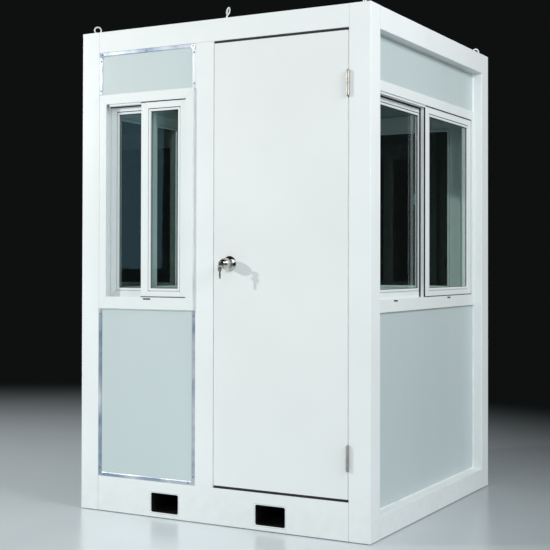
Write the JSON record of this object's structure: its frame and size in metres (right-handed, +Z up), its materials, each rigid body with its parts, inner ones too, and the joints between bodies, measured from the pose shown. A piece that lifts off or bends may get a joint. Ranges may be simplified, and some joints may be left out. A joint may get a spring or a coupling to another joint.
{
  "type": "portable cabin with sliding windows",
  "caption": "Portable one-person guard cabin: box-tube frame on fork pockets, sandwich panel walls with sliding windows, and a hinged door with a round knob.",
  "frame": {"origin": "on the ground at the centre of the footprint of the frame, on the underside of the floor bearer", "axes": "+Z up, +X to the right along the front, +Y from the front with the door to the back"},
  "size_m": [1.5, 1.592, 2.3079],
  "materials": {
    "white_frame": "satin white powder coat on steel box tube",
    "wall_panel": "light grey coated steel skin, fine texture",
    "trim_metal": "bright mill finish",
    "door_white": "satin white coated steel skin",
    "window_white": "gloss white powder-coated aluminium",
    "window_glass": "clear float glass with a green edge",
    "deck": "grey vinyl on board",
    "ceiling": "matt white coated steel skin",
    "roof": "white coated steel sheet",
    "hinge_steel": "brushed stainless",
    "lock_steel": "polished stainless",
    "latch_metal": "white enamel over zinc casting",
    "eye_white": "white brush paint over forged steel",
    "key_steel": "nickel-plated brass"
  },
  "bodies": {
    "cabin": {"base_rail_front": "white_frame", "base_rail_rear": "white_frame", "base_rail_left": "white_frame", "base_rail_right": "white_frame", "fork_pockets": "white_frame", "corner_post_front_left": "white_frame", "corner_post_front_right": "white_frame", "corner_post_rear_left": "white_frame", "corner_post_rear_right": "white_frame", "top_rail_front": "white_frame", "top_rail_rear": "white_frame", "top_rail_left": "white_frame", "top_rail_right": "white_frame", "door_mullion": "white_frame", "floor_bearer": "white_frame", "floor_deck": "deck", "ceiling_panel": "ceiling", "roof_sheet": "roof", "front_panel_lower": "wall_panel", "front_panel_upper": "wall_panel", "rear_panel_lower": "wall_panel", "rear_panel_upper": "wall_panel", "left_panel_lower": "wall_panel", "left_panel_upper": "wall_panel", "right_panel_lower": "wall_panel", "right_panel_upper": "wall_panel", "front_panel_trims": "trim_metal", "window_frame_front": "window_white", "window_frame_rear": "window_white", "window_frame_left": "window_white", "window_frame_right": "window_white", "window_sashes_front": "window_white", "window_sashes_rear": "window_white", "window_sashes_left": "window_white", "window_sashes_right": "window_white", "window_glass_front": "window_glass", "window_glass_rear": "window_glass", "window_glass_left": "window_glass", "window_glass_right": "window_glass", "sash_latches": "latch_metal", "door_stops": "door_white", "strike_plate": "hinge_steel", "hinge_fixed_leaves": "hinge_steel", "lifting_eyes": "eye_white"},
    "door": {"door_leaf": "door_white", "hinge_door_leaves": "hinge_steel", "latch_faceplate": "hinge_steel", "knob_roses": "lock_steel"},
    "knob": {"outer_knob": "lock_steel", "inner_knob": "lock_steel", "door_key": "key_steel", "spare_keys": "key_steel"}
  },
  "joints": [
    {"name": "door_swing", "type": "hinge", "parent": "cabin", "child": "door", "pos_m": [0.64725, -0.757, 1], "axis": [0, 0, 1], "range_deg": [0, 170]},
    {"name": "knob_turn", "type": "hinge", "parent": "door", "child": "knob", "pos_m": [0.0685, -0.757, 1.158], "axis": [0, 1, 0], "range_deg": [-60, 60], "stiffness_Nm_per_rad": 0.4}
  ]
}
